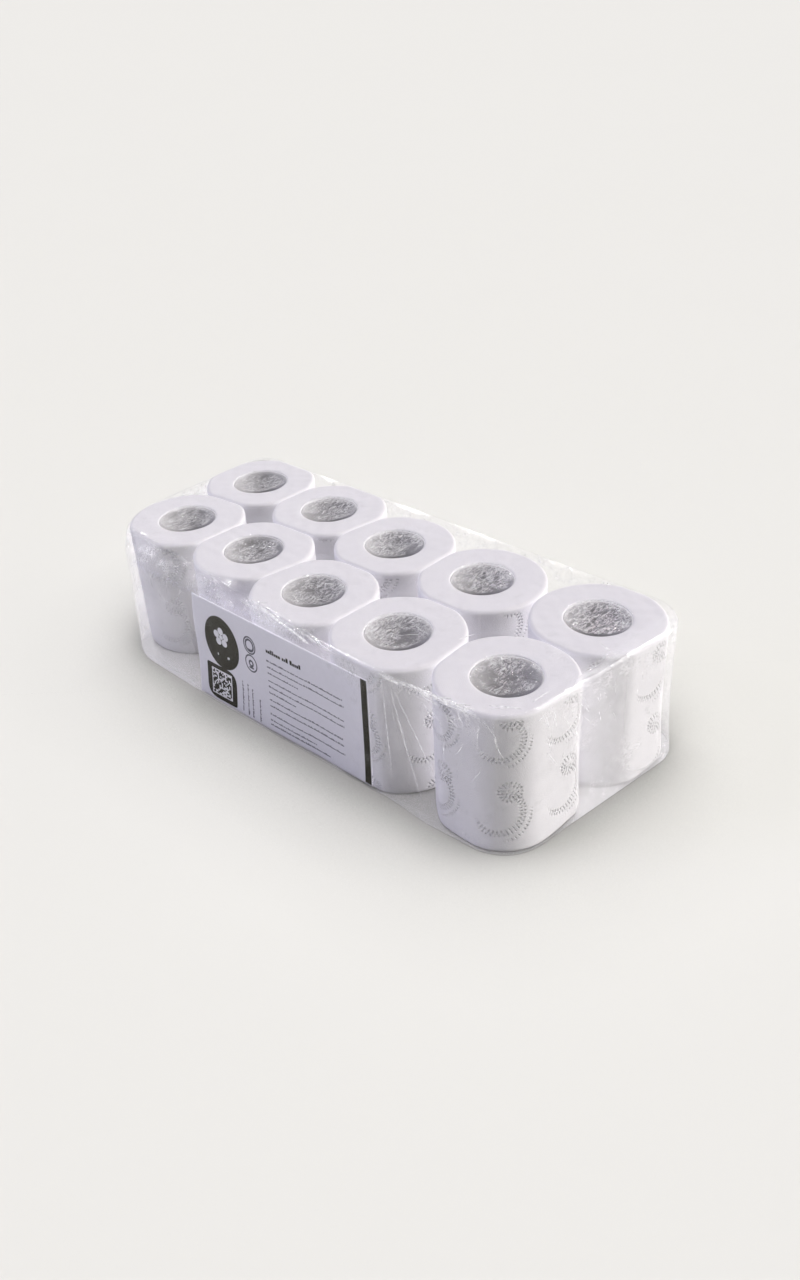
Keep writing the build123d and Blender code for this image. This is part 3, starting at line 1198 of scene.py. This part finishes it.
class LabelShape:
    """The label's gently waved plane: u runs along it and v up it, both from 0 to 1."""

    def __init__(self):
        self.low, self.high = box_of("label")
        self.left, self.right = self.low[:2], self.high[:2]
        run = self.right - self.left
        self.length = float(np.linalg.norm(run))
        self.height = float(self.high[2] - self.low[2])
        self.outward = np.array([run[1], -run[0]]) / self.length
        self.film = FilmShape()

    def at(self, u, v, stand):
        """Points at u and v, standing out from the label's middle by stand.

        The ends lean along the label, and the leaf sinks in a little between the rolls.
        """
        shear = bpy.context.scene.pack_label.shear
        slide = shear * ((v - 0.5) * (1 - u) + (0.35 * v - 0.35) * u) / self.length
        flat = self.left + (u + slide)[..., None] * (self.right - self.left)
        x = flat[..., 0]
        z = self.low[2] + v * self.height
        rolls_apart = 84 * MM
        between = (1 - np.cos((x - middle_of("core_front_3")[0]) * FULL_TURN / rolls_apart)) / 2
        sink = 0.5 * MM * between**4 * np.sin(np.pi * np.clip(v * 0.8 + 0.2, 0, 1))
        out = self.film.lean(x, z) - sink + stand
        return np.concatenate([flat + out[..., None] * self.outward, z[..., None]], axis=-1)


def label_material(settings):
    """Smooth white paper."""
    material, t, output = new_material("Label paper")
    height, tone = t.fibre(2200.0)
    base = settings.paper_colour
    paper = t.mix_colour(t.ramp(tone, 0.2, 0.8), tint(base, 0.97), tint(base))
    relief = t.bump(height, 0.05 * MM, 0.5)
    t.principled(output, {"Base Color": paper, "Roughness": 0.6, "Normal": relief})
    return material


def ink_material(name, colour):
    """Flat printed ink, a little uneven."""
    material, t, output = new_material(name)
    _, tone = t.fibre(1600.0)
    ink = t.mix_colour(t.ramp(tone, 0.2, 0.8), tint(colour), tint(colour, 1.25))
    rough = t.math("MULTIPLY_ADD", tone, 0.2, 0.4)
    t.principled(output, {"Base Color": ink, "Roughness": rough, "Specular IOR Level": 0.1})
    return material


def label_piece(material):
    """The paper leaf: a thin closed sheet, both faces on the label's waved plane.

    Its left edge bulges a little near its head, as a torn sheet's edge does.
    """
    shape = LabelShape()
    columns, rows = 120, 60
    count = columns * rows
    half_thick, ragged_by = 0.1 * MM, 1.9 * MM
    u, v = np.meshgrid(np.linspace(0, 1, columns), np.linspace(0, 1, rows), indexing="ij")
    ragged = -ragged_by / shape.length * np.sin(np.pi * v**2) * (1 - u) ** 6
    faces = [shape.at(u + ragged, v, np.full_like(u, h)) for h in (half_thick, -half_thick)]
    points = np.concatenate([face.reshape(-1, 3) for face in faces])
    front, _, _ = grid_faces(columns, rows)
    index = np.arange(count).reshape(columns, rows)
    edge = np.concatenate([index[:-1, 0], index[-1, :-1], index[:0:-1, -1], index[0, :0:-1]])
    after = np.roll(edge, -1)
    rim = np.stack([edge, edge + count, after + count, after], axis=1)
    quads = np.concatenate([front, front[:, ::-1] + count, rim])
    flat = np.stack([np.tile(u.ravel(), 2), np.tile(v.ravel(), 2)], axis=-1)
    piece = quads_mesh("paper_label", points, quads, flat[quads], [material])
    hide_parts("label")


class Print(Patches):
    """Flat printed shapes, given in millimetres from the label's lower left corner."""

    OFF_PAPER = 0.14

    def __init__(self, shape):
        super().__init__()
        self.shape = shape

    def patch(self, x, y, raise_by=0.0):
        """Adds a grid of points, x and y, as a printed area just proud of the paper."""
        u, v = x * MM / self.shape.length, y * MM / self.shape.height
        stand = np.full_like(x, (self.OFF_PAPER + raise_by) * MM)
        quads, _, _ = grid_faces(*x.shape)
        self.take(self.shape.at(u, v, stand), quads)

    def bar(self, x, y, length, height, raise_by=0.0):
        """A printed rectangle from its lower left corner."""
        across, up = (
            np.linspace(start, start + size, max(2, int(size / 6) + 2))
            for start, size in ((x, length), (y, height))
        )
        self.patch(*np.meshgrid(across, up, indexing="ij"), raise_by)

    def ring(self, x, y, outer, inner, raise_by=0.0, tall=1.0):
        """A printed ring, or a disc where inner is 0, drawn tall times as high as wide."""
        turn = np.linspace(0, FULL_TURN, 49)
        radius, turn = np.meshgrid(np.linspace(inner, outer, 6), turn, indexing="ij")
        self.patch(x + radius * np.cos(turn), y + tall * radius * np.sin(turn), raise_by)

    def leaf(self, x, y, width, height, corners):
        """A printed rectangle with two round and two sharp corners, each a superellipse."""
        turn = np.linspace(0, FULL_TURN, 129)
        blend = np.clip(0.5 + 1.2 * np.sin(2 * turn), 0, 1)
        sharp = 2 * (corners[0] * blend + corners[1] * (1 - blend)) / min(width, height)
        share, turn = np.meshgrid(np.linspace(0, 1, 8), turn, indexing="ij")
        across, up = (np.sign(way) * np.abs(way) ** sharp for way in (np.cos(turn), np.sin(turn)))
        self.patch(x + width / 2 * (1 + share * across), y + height / 2 * (1 + share * up))


def greeked_line(sheet, x, y, length, height, rng, turned=False):
    """A run of small uneven strokes with word gaps, which reads as fine print from afar."""
    at = 0.0
    while at < length:
        for _ in range(int(rng.integers(2, 9))):
            stroke = rng.uniform(0.5, 0.95) * height / 1.25
            tall = height * rng.choice([0.75, 0.8, 1.25])
            if at + stroke > length:
                return
            if turned:
                sheet.bar(x, y + at, tall, stroke)
            else:
                sheet.bar(x + at, y, stroke, tall)
            at += stroke + 0.12 * height
        at += 0.5 * height


def print_disc(dark, white, rng):
    """A dark disc, a little tall, with a plain five-petal flower and a row of strokes."""
    x, y = 29.0, 54.0
    flower_y, petal_reach = y + 5, 5.2
    dark.ring(x, y, 19.0, 0.0, tall=1.2)
    for k in range(5):
        turn = FULL_TURN * (k / 5 + 0.05)
        petal = x + petal_reach * math.cos(turn), flower_y + petal_reach * math.sin(turn)
        white.ring(*petal, 2.9, 0.0, 0.05, tall=1.1)
    white.ring(x, flower_y, 2.0, 0.0, 0.07)
    greeked_line(white, x - 10.5, y - 12.5, 21.0, 1.8, rng)


def print_block(dark, white, rng):
    """A dark leaf-shaped frame with a pane of random blocks."""
    x, y, side, inset, cells = 9.0, 1.5, 33.0, 5.2, 15
    pane = side - 2 * inset
    cell = (pane - 2.0) / cells
    dark.leaf(x, y, side, side - 3.0, (8.5, 1.6))
    white.bar(x + inset, y + inset - 1.5, pane, pane, raise_by=0.05)
    for i in range(cells):
        for j in range(cells):
            if rng.random() < 0.52:
                left, foot = x + inset + 1.0 + i * cell, y + inset - 0.5 + j * cell
                dark.bar(left, foot, cell, cell, raise_by=0.1)


def print_marks(fine, rng):
    """Two ring marks, each with a small ring and a bar in it, over four upright lines."""
    x = 61.5
    for y, inner in ((65.5, 3.4), (50.0, 1.2)):
        fine.ring(x, y, 6.6, 5.5, tall=1.15)
        fine.ring(x, y, inner + 1.5, inner, tall=1.15)
        fine.bar(x - 2.4, y - 4.6, 4.8, 1.6)
    upright = ((48.5, 3.0, 27.0), (54.5, 2.0, 28.0), (59.5, 2.0, 25.0), (67.5, 1.5, 20.0))
    for left, foot, reach in upright:
        greeked_line(fine, left, foot, reach, 1.3, rng, turned=True)


def print_text(dark, fine, rng):
    """A heading and five paragraphs: the top line's height, the lines, the last one's share."""
    start, end, line_step = 79.0, 156.0, 5.2
    paragraphs = ((59.5, 3, 0.42), (42.5, 3, 0.36), (26.0, 2, 0.97), (13.5, 2, 0.62), (4.5, 1, 0.8))
    greeked_line(dark, start + 0.5, 67.2, 36.0, 3.0, rng)
    for level, lines, last in paragraphs:
        for k in range(lines):
            reach = (end - start) * (last if k == lines - 1 else rng.uniform(0.96, 1.0))
            greeked_line(fine, start, level - line_step * k, reach, 1.25, rng)


def label_print(settings):
    """Generic print: a disc with a flower, a block pattern, marks, greeked text and a bar."""
    shape = LabelShape()
    rng = np.random.default_rng(11)
    dark, white, fine = (Print(shape) for _ in range(3))
    print_disc(dark, white, rng)
    print_block(dark, white, rng)
    print_marks(fine, rng)
    print_text(dark, fine, rng)
    dark.bar(172.4, 0.8, 5.4, shape.height / MM - 1.4)
    inks = (
        (dark, "label_dark_print", "Dark olive ink", settings.ink_colour),
        (white, "label_light_print", "White ink", (0.6, 0.6, 0.63)),
        (fine, "label_fine_print", "Grey ink", settings.text_colour),
    )
    for sheet, name, ink, colour in inks:
        sheet.piece(name, ink_material(ink, colour), "label_paper")


# ---------------------------------------------------------------- the stage


def floor_material(settings):
    """Plain pale floor that darkens softly where the pack closes it in."""
    material, t, output = new_material("Studio floor")
    base = settings.floor_colour
    cloud = t.noise(t.object_place(), 3.0, detail=2.0)
    tone = t.mix_colour(cloud, tint(base, 0.995), tint(base))
    # Painted contact shadow: two ambient occlusion reads darken the floor's colour towards the
    # contact shade near the pack.
    near, touch = (
        t.add("ShaderNodeAmbientOcclusion", {"Distance": distance}, samples=8).outputs["AO"]
        for distance in (125 * MM, 40 * MM)
    )
    open_sky = t.math("MULTIPLY", t.ramp(near, 0.35, 1.0), t.ramp(touch, -0.6, 1.0))
    tone = t.mix_colour(open_sky, tint(base, settings.contact_shade), tone)
    t.principled(output, {"Base Color": tone, "Roughness": 1.0, "Specular IOR Level": 0.0})
    return material


def add_floor(settings):
    """A floor just under the pack, wide enough to reach the horizon."""
    half, under = 60.0, 0.2 * MM
    mesh = bpy.data.meshes.new("floor")
    corners = [(-half, -half, 0), (half, -half, 0), (half, half, 0), (-half, half, 0)]
    mesh.from_pydata(corners, [], [(0, 1, 2, 3)])
    mesh.materials.append(floor_material(settings))
    floor = bpy.data.objects.new("floor", mesh)
    floor.location.z = CAD_BOX[0].z - under
    bpy.context.scene.collection.objects.link(floor)


def add_light(name, kind, way, colour, energy, glossy_only=False, **settings):
    """A lamp that stands in the direction way from the pack and shines at it."""
    lamp = bpy.data.lights.new(name, kind)
    lamp.color = colour
    lamp.energy = energy
    for key, value in settings.items():
        setattr(lamp, key, value)
    holder = bpy.data.objects.new(name, lamp)
    way = Vector(way).normalized()
    holder.location = way * 1.5
    holder.rotation_mode = "QUATERNION"
    holder.rotation_quaternion = way.to_track_quat("Z", "Y")
    holder.visible_diffuse = not glossy_only
    bpy.context.scene.collection.objects.link(holder)


def add_lights(settings):
    """A soft sun overhead, two low ones that cast no shadow, and two boxes seen in the film."""
    low_sun = {"angle": 0.5, "use_shadow": False}
    box = {"shape": "RECTANGLE", "size": 1.0, "size_y": 0.16, "glossy_only": True}
    white = (1, 1, 1)
    top, key, fill = settings.top_power, settings.key_power, settings.fill_power
    add_light("top", "SUN", (0.02, 0.02, 1.0), (1.0, 0.98, 0.985), top, angle=0.75)
    add_light("key", "SUN", (0.68, 0.68, 0.27), (1.0, 0.97, 0.93), key, **low_sun)
    add_light("fill", "SUN", (-0.68, -0.68, 0.27), (0.74, 0.73, 1.0), fill, **low_sun)
    add_light("edge_box", "AREA", (-0.6, -0.16, 0.78), white, 110.0, **box)
    add_light("side_box", "AREA", (0.3, 0.58, 0.75), white, 80.0, **box)


def add_camera():
    """A camera placed by its azimuth, elevation, roll and distance from an aim point."""
    azimuth, elevation, roll = (math.radians(a) for a in (46.1, 32.81, -3.14))
    aim = Vector((27.25, 7.93, 43.0)) * MM
    distance = 782.3 * MM
    data = bpy.data.cameras.new("camera")
    data.sensor_width = 36.0
    data.lens = 29.83
    holder = bpy.data.objects.new("camera", data)
    back = Vector((
        math.sin(azimuth) * math.cos(elevation),
        -math.cos(azimuth) * math.cos(elevation),
        math.sin(elevation),
    ))
    right = Vector((0, 0, 1)).cross(back).normalized()
    up = back.cross(right)
    turned_right = right * math.cos(roll) + up * math.sin(roll)
    turned_up = up * math.cos(roll) - right * math.sin(roll)
    turn = Matrix((turned_right, turned_up, back)).transposed()
    holder.matrix_world = Matrix.Translation(aim + back * distance) @ turn.to_4x4()
    bpy.context.scene.collection.objects.link(holder)
    bpy.context.scene.camera = holder


def studio_world(settings):
    """A pale world that is seen, straight or in reflections, but hardly lights anything."""
    world = bpy.data.worlds.new("studio")
    world.use_nodes = True
    t = Tree(world.node_tree)
    background = world.node_tree.nodes["Background"]
    path = t.add("ShaderNodeLightPath").outputs
    seen = t.math("MAXIMUM", path["Is Glossy Ray"], path["Is Camera Ray"])
    strength = t.math("MULTIPLY_ADD", seen, settings.reflected_sky, settings.sky_power)
    t.put(background.inputs["Color"], (0.93, 0.94, 1.0, 1.0))
    t.put(background.inputs["Strength"], strength)
    return world


# ---------------------------------------------------------------- operators


class PACK_OT_cores(Operator):
    """Build the ten cardboard cores"""

    bl_idname = "pack.cores"
    bl_label = "Cores"

    def execute(self, context):
        settings = context.scene.pack_cores
        material = board_material(settings)
        for number, node in enumerate(CORE_NAMES):
            core_piece(node, number, settings, material)
        return {"FINISHED"}


class PACK_OT_rolls(Operator):
    """Build the ten rolls of tissue"""

    bl_idname = "pack.rolls"
    bl_label = "Rolls"

    def execute(self, context):
        settings = context.scene.pack_rolls
        materials = [embossed_tissue(settings), cut_tissue_end(settings)]
        for number, (node, core) in enumerate(zip(ROLL_NAMES, CORE_NAMES)):
            roll_piece(node, core, number, settings, materials)
        return {"FINISHED"}


class PACK_OT_label(Operator):
    """Build the paper label and its generic print"""

    bl_idname = "pack.label"
    bl_label = "Label"

    def execute(self, context):
        settings = context.scene.pack_label
        label_piece(label_material(settings))
        label_print(settings)
        return {"FINISHED"}


class PACK_OT_film(Operator):
    """Build the clear film envelope and its gathered folds"""

    bl_idname = "pack.film"
    bl_label = "Film"

    def execute(self, context):
        settings = context.scene.pack_film
        film_piece(settings, film_material(settings))
        film_folds(fold_material())
        return {"FINISHED"}


class PACK_OT_stage(Operator):
    """Build the floor, the lights and the camera"""

    bl_idname = "pack.stage"
    bl_label = "Stage"

    def execute(self, context):
        settings = context.scene.pack_stage
        add_floor(settings)
        context.scene.world = studio_world(settings)
        add_lights(settings)
        context.scene.view_settings.view_transform = "Standard"
        add_camera()
        return {"FINISHED"}


OPERATORS = (PACK_OT_cores, PACK_OT_rolls, PACK_OT_label, PACK_OT_film, PACK_OT_stage)


class PACK_PT_panel(Panel):
    bl_idname = "PACK_PT_panel"
    bl_label = "Roll Pack"
    bl_space_type = "VIEW_3D"
    bl_region_type = "UI"
    bl_category = "Roll Pack"

    def draw(self, context):
        for name, group in SETTINGS.items():
            box = self.layout.box()
            for key in group.__annotations__:
                box.prop(getattr(context.scene, name), key)
        for operator in OPERATORS:
            self.layout.operator(operator.bl_idname)


def register():
    for name, group in SETTINGS.items():
        bpy.utils.register_class(group)
        setattr(bpy.types.Scene, name, PointerProperty(type=group))
    for made in (*OPERATORS, PACK_PT_panel):
        bpy.utils.register_class(made)


def unregister():
    for made in (PACK_PT_panel, *reversed(OPERATORS)):
        bpy.utils.unregister_class(made)
    for name, group in SETTINGS.items():
        delattr(bpy.types.Scene, name)
        bpy.utils.unregister_class(group)


def main():
    register()
    bpy.ops.pack.cores()
    bpy.ops.pack.rolls()
    bpy.ops.pack.label()
    bpy.ops.pack.film()
    bpy.ops.pack.stage()


if __name__ == "__main__":
    main()
